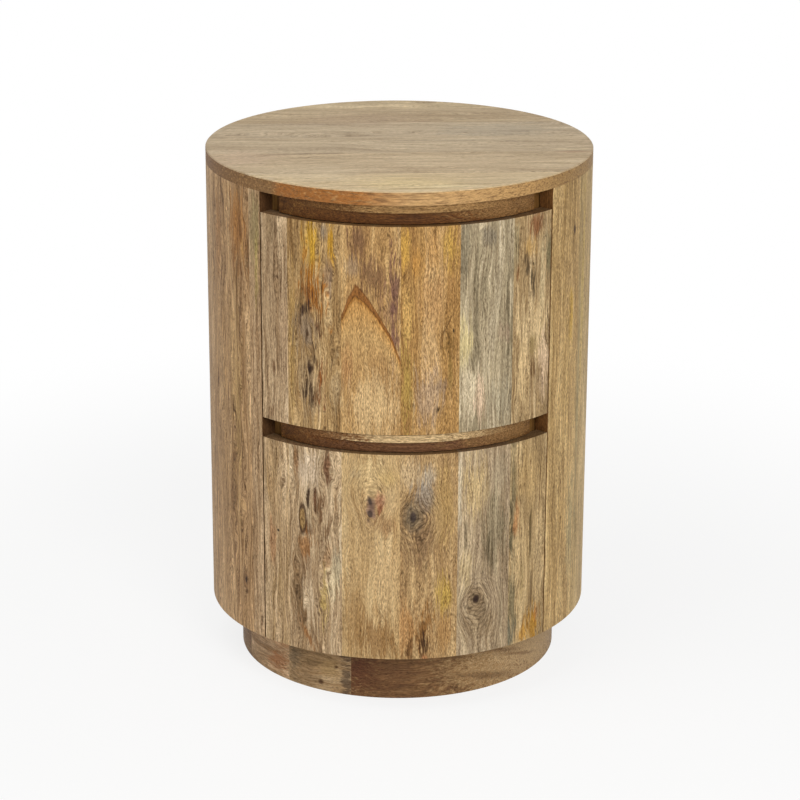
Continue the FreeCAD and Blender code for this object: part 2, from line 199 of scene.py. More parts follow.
def draw_knot(tree, colour, flow, fray, mark):
    """A knot: a halo, uneven growth rings that close round it and a dark core."""
    far = spot_field(tree, flow, mark)[1]
    halo = fade(tree, frayed(tree, far, fray, amount=2.4), full=0.9, none=3.2, strength=mark["strength"])
    colour = tint(tree, colour, mark["halo"], halo)
    uneven = frayed(tree, far, fray, mark["ring_fray"])
    ring = add(tree, "ShaderNodeMath", {0: uneven, 1: mark["rings"]}, operation="MULTIPLY")
    ripple = add(tree, "ShaderNodeMath", {0: ring}, operation="SINE")
    crest = fade(tree, ripple, full=0.95, none=0.1)
    near = fade(tree, far, full=1.0, none=mark["ring_reach"], strength=mark["ring_strength"])
    line = add(tree, "ShaderNodeMath", {0: crest, 1: near}, operation="MULTIPLY")
    colour = tint(tree, colour, mark["tone"], line)
    core = fade(tree, frayed(tree, far, fray, amount=1.2), full=0.5, none=1.1, strength=mark["core"])
    return tint(tree, colour, mark["tone"], core)


def draw_arch(tree, colour, flow, fray, mark):
    """A cathedral: two arms of dark late wood that fall away from a peak, with plainer wood inside."""
    local = add(tree, "ShaderNodeMapping", {"Vector": flow, "Location": (mark["across"], 0, mark["along"])},
                vector_type="TEXTURE")
    part = add(tree, "ShaderNodeSeparateXYZ", {0: local}).outputs
    left = add(tree, "ShaderNodeMath", {0: part[0], 1: -mark["left"]}, operation="MULTIPLY")
    right = add(tree, "ShaderNodeMath", {0: part[0], 1: mark["right"]}, operation="MULTIPLY")
    arms = add(tree, "ShaderNodeMath", {0: left, 1: right, 2: mark["round"]}, operation="SMOOTH_MAX")
    square = add(tree, "ShaderNodeMath", {0: part[0], 1: part[0]}, operation="MULTIPLY")
    bowed = add(tree, "ShaderNodeMath", {0: square, 1: mark["curve"], 2: arms}, operation="MULTIPLY_ADD")
    rise = add(tree, "ShaderNodeMath", {0: part[2], 1: bowed}, operation="ADD")
    narrow = add(tree, "ShaderNodeMath", {0: bowed, 1: 1 / mark["taper"], 2: 1.0}, operation="MULTIPLY_ADD")
    slim = add(tree, "ShaderNodeMath", {0: rise, 1: narrow}, operation="MULTIPLY")
    loose = frayed(tree, slim, fray, mark["fray"])
    low, high = mark["bands"][0][0], mark["bands"][-1][0]
    share = add(tree, "ShaderNodeMapRange", {"Value": loose, "From Min": low, "From Max": high})
    bands = add(tree, "ShaderNodeValToRGB", {0: share}, tones=[
        ((place - low) / (high - low), linear(tone, strength)) for place, tone, strength in mark["bands"]])
    return add(tree, "ShaderNodeMix", {0: bands.outputs["Alpha"], 6: colour, 7: bands.outputs["Color"]},
               data_type="RGBA")


def draw_strip(tree, colour, flow, fray, mark):
    """A straight strip between two edges along the grain, which fades out at its two ends."""
    part = add(tree, "ShaderNodeSeparateXYZ", {0: flow}).outputs
    low, high = mark["low"], mark["high"]
    over = fade(tree, part[0], full=low + STRIP_EDGE, none=low - STRIP_EDGE)
    under = fade(tree, part[0], full=high - STRIP_EDGE, none=high + STRIP_EDGE, strength=mark["strength"])
    inside = add(tree, "ShaderNodeMath", {0: over, 1: under}, operation="MULTIPLY")
    off_middle = add(tree, "ShaderNodeMath", {0: part[2]}, operation="ABSOLUTE")
    reach = fade(tree, frayed(tree, off_middle, fray, amount=40.0), full=mark["full"], none=mark["none"])
    amount = add(tree, "ShaderNodeMath", {0: inside, 1: reach}, operation="MULTIPLY")
    return tint(tree, colour, mark["tone"], amount)


DRAW = {"stain": draw_stain, "eye": draw_eye, "knot": draw_knot, "arch": draw_arch, "strip": draw_strip}


def share_across(tree, value):
    """A length from one side of the drum to the other, as a share from 0 to 1."""
    return add(tree, "ShaderNodeMapRange", {
        "Value": value, "From Min": -DRUM_RADIUS, "From Max": DRUM_RADIUS})


def glue_up(tree, flow, boards):
    """Boards glued edge to edge: a tone for each and a jump along the grain from one to the next."""
    share = share_across(tree, add(tree, "ShaderNodeSeparateXYZ", {0: flow}).outputs[0])
    places = [(start + DRUM_RADIUS) / (2 * DRUM_RADIUS) for start, _ in boards]
    levels = [(0.15 + 0.37 * index) % 1.0 for index in range(len(boards))]
    tone = add(tree, "ShaderNodeValToRGB", {0: share}, tones=[
        (place, linear(code)) for place, (_, code) in zip(places, boards)])
    jump = add(tree, "ShaderNodeValToRGB", {0: share}, tones=[
        (place, (level, level, level, 1.0)) for place, level in zip(places, levels)])
    tone.color_ramp.interpolation = "CONSTANT"
    jump.color_ramp.interpolation = "CONSTANT"
    leap = add(tree, "ShaderNodeMath", {0: jump, 1: BOARD_JUMP}, operation="MULTIPLY")
    shift = add(tree, "ShaderNodeCombineXYZ", {2: leap})
    return add(tree, "ShaderNodeVectorMath", {0: flow, 1: shift}, operation="ADD"), tone


# Mango wood

# How a mango board looks where its own entry says nothing else. Lengths are millimetres.
PLAIN_MANGO = dict(
    angle=0.0,               # where the board stands round the drum, from the middle of the front
    radius=DRUM_RADIUS,      # radius of the turned face that the grain follows
    marks=(),                # natural marks, and on the rails and the top painted light and shade, drawn in turn
    boards=None,             # boards glued side by side, each with its start and its tone
    rim=None,                # tones along the turned rim of the top
    ends="#7A5B39",          # tone of sawn ends
    edges=None,              # tone of painted shade on a stave's sides, where they show in gaps
    sway=9.0,                # how far the grain wanders in long waves
    curl=5.0,                # how far it wanders in short waves
    drift=(22.0, 300.0),     # width and length of the slow streaks
    band=(4.0, 110.0),       # width and length of the quick streaks
    figure=(9.0, 0.1),       # spacing and depth of the soft figure
    veins=0.4,               # strength of the dark veins
    fibre=0.6,               # contrast of the nap
    stroke=(0.6, 3.4),       # width and length of a stroke of the nap
    lines=0.5,               # share of long fibres in the nap
    flecks=0.3,              # darkness of the open pores
    roughness=(0.55, 0.68))  # roughness of the lacquer on the wood and over a pore


def run_grain(tree, straight, look):
    """The grain as it runs over glued boards and round knots, and the tone of each board."""
    flow, base = glue_up(tree, straight, look["boards"]) if look["boards"] else (straight, None)
    for mark in look["marks"]:
        if mark["kind"] == "knot":
            flow = part_round(tree, flow, mark)
    flow = sway_grain(tree, flow, width=45, length=220, seed=look["seed"] + 7, reach=look["sway"])
    return sway_grain(tree, flow, width=14, length=60, seed=look["seed"] + 9, reach=look["curl"]), base


def draw_streaks(tree, flow, base, look):
    """The board's own tones in slow and quick streaks, with a soft figure of growth rings."""
    slow = streaks(tree, flow, *look["drift"], seed=look["seed"], detail=3.0)
    quick = streaks(tree, flow, *look["band"], seed=look["seed"] + 1, detail=4.0)
    level = add(tree, "ShaderNodeMix", {0: QUICK_SHARE, 2: slow, 3: quick}, data_type="FLOAT")
    colour = add(tree, "ShaderNodeValToRGB", {0: level}, tones=[
        (place, linear(tone)) for place, tone in zip(TONE_LEVELS, look["tones"])])
    if base:
        colour = add(tree, "ShaderNodeMix", {0: BOARD_SHARE, 6: colour, 7: base}, data_type="RGBA")
    spacing, depth = look["figure"]
    across = add(tree, "ShaderNodeSeparateXYZ", {0: flow}).outputs[0]
    bent = frayed(tree, across, slow, amount=70.0)
    phase = add(tree, "ShaderNodeMath", {0: bent, 1: 2 * math.pi / spacing}, operation="MULTIPLY")
    wave = add(tree, "ShaderNodeMath", {0: phase}, operation="SINE")
    return tint(tree, colour, look["tones"][0], fade(tree, wave, full=1.0, none=0.2, strength=depth * 3))


def draw_marks(tree, colour, straight, flow, look):
    """The marks of a board, natural ones and on the rails and the top painted light and shade too, and the
    dark veins over them.
    """
    seed = look["seed"]
    near = sway_grain(tree, straight, width=9, length=48, seed=seed + 9, reach=2.2)
    flame = streaks(tree, flow, width=5.0, length=36.0, seed=seed + 4, detail=4.0)
    whisker = streaks(tree, flow, width=1.3, length=18.0, seed=seed + 8, detail=1.0)
    fray = add(tree, "ShaderNodeMix", {0: WHISKER_SHARE, 2: flame, 3: whisker}, data_type="FLOAT")
    for mark in look["marks"]:
        place = straight if mark["kind"] == "strip" else near
        colour = DRAW[mark["kind"]](tree, colour, place, fray, mark)
    vein = streaks(tree, flow, width=1.5, length=60.0, seed=seed + 5, detail=3.0)
    amount = fade(tree, vein, full=0.66, none=0.52, strength=look["veins"])
    dark = add(tree, "ShaderNodeVectorMath", {0: colour, 1: VEIN_SHADE}, operation="MULTIPLY")
    return add(tree, "ShaderNodeMix", {0: amount, 6: colour, 7: dark}, data_type="RGBA")


def draw_rim(tree, straight, look):
    """The turned rim of the top: end grain and side grain by turns, with dark and pale streaks."""
    share = share_across(tree, add(tree, "ShaderNodeSeparateXYZ", {0: straight}).outputs[2])
    colour = add(tree, "ShaderNodeValToRGB", {0: share}, tones=[
        ((place + DRUM_RADIUS) / (2 * DRUM_RADIUS), linear(tone)) for place, tone in look["rim"]])
    dark = streaks(tree, straight, width=2.2, length=34.0, seed=look["seed"] + 13, detail=3.0)
    pale = streaks(tree, straight, width=2.4, length=40.0, seed=look["seed"] + 14, detail=3.0)
    colour = tint(tree, colour, "#5E3A18", fade(tree, dark, full=0.68, none=0.44, strength=0.7))
    return tint(tree, colour, "#D0A468", fade(tree, pale, full=0.74, none=0.5, strength=0.45))


def draw_cut_faces_and_shade(tree, colour, layout, straight, look):
    """The faces that were cut across the board: a rim, sawn ends, darker from end grain and on staves also
    from painted shade, and a stave's sides, which take painted shade.
    """
    normal = add(tree, "ShaderNodeNewGeometry").outputs["True Normal"]
    facing = add(tree, "ShaderNodeSeparateXYZ", {0: normal}).outputs
    if look["rim"]:
        upright = fade(tree, facing[2], full=0.2, none=0.9, strength=0.92)
        rim = draw_rim(tree, straight, look)
        colour = add(tree, "ShaderNodeMix", {0: upright, 6: colour, 7: rim}, data_type="RGBA")
    elif layout in GRAIN_AXIS:
        # Sawn ends are darker from end grain; the darker end tone that the staves use adds painted shade.
        sawn = add(tree, "ShaderNodeMath", {0: facing[GRAIN_AXIS[layout]]}, operation="ABSOLUTE")
        colour = tint(tree, colour, look["ends"], fade(tree, sawn, full=0.95, none=0.6, strength=0.8))
    # A stave's sides take painted shade, for they show only in the gaps between parts.
    if look["edges"]:
        sideways = add(tree, "ShaderNodeSeparateXYZ", {0: turn_back(tree, normal, look["angle"])}).outputs[0]
        side_shade_mask = add(tree, "ShaderNodeMath", {0: sideways}, operation="ABSOLUTE")
        colour = tint(tree, colour, look["edges"], fade(tree, side_shade_mask, full=0.9, none=0.6, strength=0.95))
    return colour


def draw_nap(tree, colour, flow, look):
    """The nap of fine strokes over a colour, the fibres in it and the open pores among them."""
    seed, fibre = look["seed"], look["fibre"]
    nap = sway_grain(tree, flow, width=5.0, length=12.0, seed=seed + 6, reach=0.6)
    short = streaks(tree, nap, *look["stroke"], seed=seed + 2, detail=2.0)
    long = streaks(tree, flow, width=1.2, length=50.0, seed=seed + 12, detail=3.0)
    hair = add(tree, "ShaderNodeMix", {0: look["lines"], 2: short, 3: long}, data_type="FLOAT")
    lit = add(tree, "ShaderNodeMapRange", {"Value": hair, "From Min": 0.36, "From Max": 0.64})
    light = 1 + 1.25 * fibre
    dark = (1 - 0.9 * fibre, 1 - fibre, 1 - 1.1 * fibre, 1)
    shade = add(tree, "ShaderNodeMix", {0: lit, 6: dark, 7: (light, light, light, 1)}, data_type="RGBA")
    colour = add(tree, "ShaderNodeVectorMath", {0: colour, 1: shade}, operation="MULTIPLY")
    speck = streaks(tree, nap, width=0.8, length=5.0, seed=seed + 3, detail=1.0)
    pore = fade(tree, speck, full=0.68, none=0.54)
    left = add(tree, "ShaderNodeMath", {0: pore, 1: -look["flecks"], 2: 1.0}, operation="MULTIPLY_ADD")
    return add(tree, "ShaderNodeVectorMath", {0: colour, "Scale": left}, operation="SCALE"), hair, pore


def mango(name, layout, **choices):
    """Mango board, planed and finished in satin lacquer.

    The eye sees soft streaks of tan, grey and yellow along the grain, dark veins, and a dense nap of short
    strokes: the open pores. Real pores are 0.2 to 0.3 mm wide; they are drawn about 0.6 mm wide so that they
    show from afar. Sawn ends drink the lacquer and look darker; on the staves they take painted shade as
    well, and so do the staves' sides.
    """
    look = PLAIN_MANGO | choices
    material, tree = empty_material(name)
    straight = lay_out(tree, layout, look["angle"], look["radius"])
    flow, base = run_grain(tree, straight, look)
    colour = draw_streaks(tree, flow, base, look)
    colour = draw_marks(tree, colour, straight, flow, look)
    colour = draw_cut_faces_and_shade(tree, colour, layout, straight, look)
    colour, hair, pore = draw_nap(tree, colour, flow, look)
    smooth, rough = look["roughness"]
    gloss = add(tree, "ShaderNodeMapRange", {"Value": pore, "To Min": smooth, "To Max": rough})
    relief = add(tree, "ShaderNodeMath", {0: pore, 1: -1.0, 2: hair}, operation="MULTIPLY_ADD")
    bump = add(tree, "ShaderNodeBump", {"Strength": RELIEF, "Distance": RELIEF_DEPTH, "Height": relief})
    surface = add(tree, "ShaderNodeBsdfPrincipled", {
        "Base Color": colour, "Roughness": gloss, "Normal": bump, "IOR": 1.5, "Specular IOR Level": 0.18})
    add(tree, "ShaderNodeOutputMaterial", {"Surface": surface})
    return material


def zinc_steel():
    """Zinc-plated steel screw: a dull bluish-yellow metal with a fine spangle."""
    material, tree = empty_material("zinc_plated_steel")
    point = add(tree, "ShaderNodeTexCoord").outputs["Object"]
    spangle = add(tree, "ShaderNodeTexNoise", {"Vector": point, "Scale": MM / SPANGLE, "Detail": 2.0})
    colour = add(tree, "ShaderNodeMix", {0: spangle, 6: linear("#A9A593"), 7: linear("#CFC7A8")},
                 data_type="RGBA")
    gloss = add(tree, "ShaderNodeMapRange", {"Value": spangle, "To Min": 0.28, "To Max": 0.46})
    surface = add(tree, "ShaderNodeBsdfPrincipled", {
        "Base Color": colour, "Roughness": gloss, "Metallic": 1.0})
    add(tree, "ShaderNodeOutputMaterial", {"Surface": surface})
    return material


# The boards

def stain(across, along, half_width, half_length, tone, strength, lean=0, fray=4.0, bare=0.0):
    """A stain's place on its board and its size in millimetres, its lean in degrees, and how it breaks up."""
    return dict(kind="stain", across=across, along=along, half_width=half_width, half_length=half_length,
                tone=tone, strength=strength, lean=lean, fray=fray, bare=bare)


def knot(across, along, half_width, half_length, tone, halo, strength,
         rings=7.0, ring_reach=4.0, ring_strength=0.3, ring_fray=1.8, core=0.92):
    """A knot's place and size in millimetres, its tones, and the rings and the core that it shows."""
    return dict(kind="knot", across=across, along=along, half_width=half_width, half_length=half_length,
                tone=tone, halo=halo, strength=strength, rings=rings, ring_reach=ring_reach,
                ring_strength=ring_strength, ring_fray=ring_fray, core=core)


def swirl(across, along, tone, halo, strength, ring_reach, ring_strength):
    """Wide, fine growth rings round a knot, with no core of their own."""
    return knot(across, along, half_width=10, half_length=11, tone=tone, halo=halo, strength=strength,
                rings=19.0, ring_reach=ring_reach, ring_strength=ring_strength, ring_fray=0.5, core=0.0)


# Fronts of the drawers, from left to right. Across starts at the middle of a stave, and along is the height
# above the floor.
FRONTS = {
    "upper_front_stave_1": dict(
        tones=("#927757", "#C0A683", "#E0C8A6"), veins=0.65, fibre=0.66, curl=6.0, marks=[
            stain(-6, 502, 6.7, 15, "#96805F", 0.5),
            stain(3, 501, 1.2, 7.1, "#7A5F42", 0.6),
            stain(3, 453, 4, 2.7, "#4A3420", 0.85),
            stain(-2, 358, 2.1, 6.3, "#6B4A2C", 0.75),
            stain(-6, 310, 4.7, 6.4, "#8A6A48", 0.5),
            stain(12, 399, 5.6, 63, "#C2A583", 0.4)]),
    "upper_front_stave_2": dict(
        tones=("#83643C", "#AF9062", "#D0B386"), veins=0.85, fibre=0.68, curl=9.0, marks=[
            stain(-24, 381, 3.8, 76, "#A8874A", 0.6),
            stain(-2, 490, 12, 26, "#BC9850", 0.7),
            stain(-1, 488, 4.4, 34, "#C09428", 0.8, fray=6.0),
            stain(12, 505, 4.9, 11, "#7E7264", 0.75),
            stain(19, 497, 4.2, 25, "#B88A26", 0.85, fray=8.0, bare=0.2),
            stain(16, 463, 4.6, 17, "#94785E", 0.6),
            stain(1, 440, 11, 34, "#9E6420", 0.9, lean=-10, fray=7.0, bare=0.1),
            stain(-7, 444, 6.1, 9, "#74451F", 0.65, fray=6.0, bare=0.3),
            stain(-8, 405, 15, 22, "#83725F", 0.75),
            stain(-5, 347, 16, 40, "#9E8A6E", 0.55),
            stain(-9, 425, 7, 8, "#38241A", 0.95, fray=7.0, bare=0.3),
            stain(5, 411, 4, 20, "#5E3A1E", 0.85, lean=-12, fray=6.0, bare=0.2),
            stain(-15, 409, 1.4, 15, "#6A5036", 0.7),
            stain(-2, 382, 10, 34, "#46301C", 0.95, fray=9.0, bare=0.8),
            stain(3, 369, 5, 13, "#44301C", 0.9, lean=-18, fray=7.0, bare=0.3),
            stain(-6, 340, 8, 28, "#463220", 0.9, fray=9.0, bare=0.6),
            stain(8, 356, 6, 26, "#8A5426", 0.85, fray=8.0, bare=0.4),
            stain(23, 351, 7.4, 27, "#B39E7A", 0.5),
            stain(19, 452, 1.9, 20, "#7A6656", 0.6),
            stain(2, 336, 1.6, 15, "#6B4E30", 0.7)]),
    "upper_front_stave_3": dict(
        tones=("#987347", "#B8935F", "#CFAF7C"), veins=0.35, fibre=0.54, lines=0.3, marks=[
            stain(-13, 498, 8.6, 18, "#705038", 0.8, fray=6.0),
            stain(-18, 473, 9.7, 10, "#94806A", 0.55),
            stain(2, 463, 14, 22, "#6E4E36", 0.75, fray=5.0),
            stain(14, 496, 9.4, 18, "#A07C4C", 0.6),
            stain(19, 430, 9.3, 24, "#86654C", 0.65),
            stain(24, 436, 5.3, 54, "#6E4C42", 0.8, fray=6.0),
            stain(-24, 373, 6.3, 28, "#A06E44", 0.5),
            stain(3, 330, 26, 34, "#D2B484", 0.75),
            dict(kind="arch", across=-15.7, along=456, left=2.1, right=0.85, round=3.0, curve=0.0187,
                 taper=26, fray=5.0, bands=[
                     (-120, "#BE9A66", 0.0), (-60, "#C8A46C", 0.55), (-19, "#C09050", 0.85),
                     (-14, "#A06A28", 0.85), (-12, "#5E3710", 0.9), (-10, "#855320", 0.9),
                     (-3, "#8C5A2A", 0.9), (-0.5, "#6A3E18", 0.9), (2, "#7A4E2C", 0.0)])]),
    "upper_front_stave_4": dict(
        tones=("#926C3C", "#AF8851", "#C5A271"), veins=0.35, fibre=0.56, lines=0.25, marks=[
            stain(-26, 488, 5.1, 28, "#CCA04A", 0.7),
            stain(-14, 478, 6.3, 16, "#BE8A42", 0.6),
            stain(-24, 425, 6.1, 40, "#C29C5C", 0.7),
            stain(-23, 349, 6, 42, "#B0944A", 0.65),
            stain(18, 493, 8.1, 21, "#C09A48", 0.65),
            stain(2, 491, 8.9, 21, "#B88C54", 0.5),
            stain(4, 440, 16, 28, "#B08654", 0.6),
            stain(-2, 340, 15, 33, "#A89078", 0.65),
            stain(12, 352, 6.5, 8.4, "#86705A", 0.6),
            stain(19, 397, 7.7, 24, "#765628", 0.75, fray=6.0, bare=0.2),
            stain(17, 415, 1.2, 16, "#5E401E", 0.85, lean=27),
            stain(11, 399, 1.6, 11, "#7A5830", 0.75),
            stain(24, 408, 2.4, 3.3, "#1E120A", 0.95),
            stain(8, 327, 2, 4.7, "#33200F", 0.95, lean=12),
            stain(20, 363, 2.3, 17, "#8A6E38", 0.65)]),
    "upper_front_stave_5": dict(
        tones=("#81745A", "#AA9A7C", "#C4B598"), veins=0.5, marks=[
            stain(-26, 489, 6.4, 26, "#827760", 0.7),
            stain(2, 502, 7.8, 11, "#807664", 0.7),
            stain(29, 462, 4.2, 16, "#82765A", 0.65),
            stain(24, 398, 1.7, 55, "#685C44", 0.8),
            stain(28, 406, 1.5, 43, "#706448", 0.7),
            stain(-24, 392, 9, 28, "#D0BE88", 0.75),
            stain(-18, 341, 17, 30, "#D6C6A6", 0.85),
            stain(-7, 334, 6.2, 25, "#CDAA8E", 0.5),
            stain(16, 331, 17, 20, "#A2977E", 0.6),
            stain(19, 399, 7.2, 10, "#A58C74", 0.45)]),
    "upper_front_stave_6": dict(
        tones=("#826A48", "#A98E65", "#CBB28A"), veins=0.6, curl=7.0, marks=[
            stain(4, 504, 9.4, 15, "#744420", 0.85),
            stain(-24, 487, 5.8, 28, "#8F8466", 0.7),
            stain(-5, 481, 9, 10, "#BE985A", 0.7),
            stain(-8, 466, 5, 17, "#55422A", 0.9, lean=-16, fray=6.0, bare=0.2),
            stain(0, 444, 6, 25, "#4C3E28", 0.95, lean=-10, fray=7.0, bare=0.3),
            stain(-20, 457, 2.3, 10, "#74491F", 0.8),
            stain(13, 449, 3.9, 44, "#CDB990", 0.65),
            stain(22, 472, 4.8, 27, "#686044", 0.8),
            stain(1, 396, 22, 34, "#DCC294", 0.75),
            stain(0, 378, 5.6, 13, "#86703E", 0.7),
            stain(2, 353, 5, 19, "#684826", 0.85, fray=6.0, bare=0.2),
            stain(-12, 347, 9, 38, "#DABE8E", 0.75),
            stain(17, 357, 9, 34, "#D4B898", 0.65)]),
    "lower_front_stave_1": dict(
        tones=("#8F7349", "#BA9E79", "#D8BE99"), veins=0.65, fibre=0.66, curl=6.0, marks=[
            stain(-5, 172, 5.8, 26, "#B07E54", 0.55),
            stain(18, 221, 2.1, 58, "#CDB58C", 0.55),
            stain(-10, 235, 7.3, 24, "#B49264", 0.45),
            stain(2, 183, 1.6, 1.8, "#1E120A", 0.98, fray=1.0)]),
    "lower_front_stave_2": dict(
        tones=("#866B4A", "#B29876", "#D0BA98"), veins=0.85, fibre=0.66, curl=10.0, marks=[
            stain(-6, 256, 14, 20, "#C6B298", 0.8),
            stain(13, 260, 4.4, 17, "#74482A", 0.8, fray=6.0),
            stain(-22, 260, 3.1, 18, "#8A6238", 0.75),
            stain(-11, 151, 11, 17, "#94795C", 0.5),
            stain(15, 163, 5, 18, "#AC865E", 0.6),
            stain(25, 159, 5.4, 20, "#A39A80", 0.6),
            stain(10, 113, 4.5, 26, "#B69C5A", 0.65, fray=6.0),
            stain(21, 139, 6.9, 21, "#CCBC98", 0.6),
            stain(-8, 113, 9, 28, "#D0BA9A", 0.75),
            stain(-7, 227, 1.8, 12, "#38220F", 0.95),
            stain(1, 227, 2.2, 12, "#643A1C", 0.85),
            stain(10, 200, 12, 34, "#6A4C30", 0.85, lean=14, fray=8.0, bare=0.6),
            stain(16, 200, 2.2, 20, "#7A5E40", 0.7, lean=14),
            stain(-6, 190, 6.2, 9, "#4E2C14", 0.9, fray=6.0, bare=0.2),
            stain(-9, 177, 9, 13, "#98693A", 0.75, fray=6.0),
            stain(-18, 118, 7, 40, "#6A5236", 0.85, lean=-4, fray=8.0, bare=0.6),
            stain(-8, 73, 3.5, 22, "#86592E", 0.8, lean=-26),
            stain(2, 71, 3.2, 18, "#75583A", 0.7, lean=-22),
            dict(kind="eye", across=-13.6, along=202, half_width=4.0, half_length=14, tone="#432811",
                 strength=0.85, line=0.4, inside="#A07C40", inside_strength=0.7)]),
    "lower_front_stave_3": dict(
        tones=("#A58557", "#BFA071", "#D3B788"), veins=0.3, fibre=0.45, lines=0.3, marks=[
            knot(0.5, 223, 3.4, 9.0, "#6E5444", "#A5845C", 0.6, ring_reach=8.0, ring_strength=0.34),
            stain(1, 254, 28, 24, "#D8BE8C", 0.65),
            swirl(1, 238, "#80603A", "#B08E60", 0.2, ring_reach=6.0, ring_strength=0.25),
            stain(18, 255, 11, 11, "#C4A464", 0.4),
            stain(-16, 258, 6, 5.3, "#9A8464", 0.5),
            stain(-17, 102, 11, 48, "#8E6A3C", 0.6),
            stain(8, 79, 20, 30, "#866032", 0.75),
            stain(17, 148, 12, 34, "#C2A478", 0.4),
            stain(15, 205, 9.7, 13, "#98724A", 0.65),
            stain(10, 231, 5.5, 10, "#AC785C", 0.75),
            stain(9, 221, 2.6, 5.7, "#84502F", 0.7, lean=16),
            stain(21, 232, 6.8, 16, "#CCB084", 0.4),
            stain(0.5, 223, 4.8, 12, "#8A6E5E", 0.85, fray=3.0),
            stain(-0.5, 216, 2.2, 6, "#2A1F1C", 0.8, lean=10, fray=4.0),
            stain(-0.5, 230, 2, 5.5, "#3A302E", 0.8, lean=-14, fray=4.0)]),
    "lower_front_stave_4": dict(
        tones=("#91714A", "#AE8F63", "#C9AB7C"), veins=0.5, fibre=0.58, lines=0.3, marks=[
            stain(-18, 261, 12, 17, "#C6AE88", 0.6),
            stain(-2, 254, 9, 15, "#B0A592", 0.65),
            stain(-4, 235, 11, 20, "#8E857A", 0.75),
            stain(-8, 188, 16, 28, "#7E6244", 0.8, fray=5.0),
            stain(16, 222, 12, 44, "#BA9A60", 0.55),
            swirl(-9, 211, "#64482C", "#8A7050", 0.3, ring_reach=5.5, ring_strength=0.25),
            stain(16, 127, 8.9, 22, "#C4A44C", 0.7),
            stain(-22, 89, 9.8, 32, "#C0905A", 0.6),
            stain(16, 84, 9, 26, "#AA7E46", 0.5),
            stain(-6, 84, 13, 30, "#8E6434", 0.55, fray=5.0),
            stain(-4, 92, 7, 30, "#7E5628", 0.8, lean=6, fray=7.0, bare=0.3),
            stain(-4, 74, 4.6, 11, "#402814", 0.9, fray=6.0, bare=0.2),
            stain(-18, 69, 6, 15, "#5E3E1E", 0.8, lean=14, fray=6.0, bare=0.2),
            stain(-6, 62, 2.7, 6.7, "#53351A", 0.85),
            stain(-3, 58, 4.1, 3.8, "#A0623A", 0.6),
            knot(-16.6, 214, 4.4, 7.4, "#362B26", "#75664F", 0.8,
                 rings=6.5, ring_reach=6.0, ring_strength=0.42)]),
    "lower_front_stave_5": dict(
        tones=("#867255", "#AC977A", "#CAB592"), veins=0.5, marks=[
            stain(-28, 239, 3, 37, "#D4C6AA", 0.8),
            stain(-10, 244, 14, 32, "#CFB480", 0.7),
            stain(16, 246, 11, 25, "#A4957A", 0.5),
            stain(12, 192, 14, 40, "#877B60", 0.7),
            stain(-22, 152, 7.2, 21, "#C4AC7A", 0.5),
            stain(-5, 90, 20, 19, "#8C7658", 0.65),
            stain(-20, 186, 2.4, 15, "#685A42", 0.7),
            swirl(-8, 104, "#6A5840", "#8C7658", 0.3, ring_reach=5.5, ring_strength=0.22),
            stain(4, 168, 2, 19, "#564A34", 0.75),
            stain(9, 160, 1.9, 17, "#62543C", 0.7),
            stain(20, 107, 2.7, 40, "#7E7056", 0.5),
            knot(-9.2, 118, 4.6, 6.0, "#220D07", "#8F7553", 0.5, ring_reach=8.0, ring_strength=0.4)]),
    "lower_front_stave_6": dict(
        tones=("#8B724C", "#B1966B", "#CBB184"), veins=0.6, curl=7.0, marks=[
            stain(-22, 219, 5.9, 58, "#665C42", 0.85),
            stain(-21, 108, 6.6, 55, "#70674C", 0.8),
            stain(-24, 71, 7.3, 17, "#5C5E52", 0.7),
            stain(0, 239, 19, 27, "#C2A26C", 0.4),
            stain(-17, 195, 4.2, 17, "#B47C4A", 0.65),
            stain(3, 174, 2.2, 33, "#54421F", 0.85),
            stain(6, 114, 2.1, 28, "#624A28", 0.8),
            stain(15, 141, 9.1, 44, "#BCA47C", 0.4),
            stain(8, 71, 8.3, 18, "#AE7E22", 0.85, lean=8, fray=6.0),
            stain(-6, 66, 6, 10, "#B4822A", 0.75, lean=8, fray=5.0),
            stain(2, 70, 8, 18, "#6A461A", 0.85, fray=8.0, bare=1.0),
            stain(14, 84, 3.8, 9.1, "#A86A28", 0.65),
            stain(-8, 131, 2, 27, "#7E6A40", 0.6)]),
}

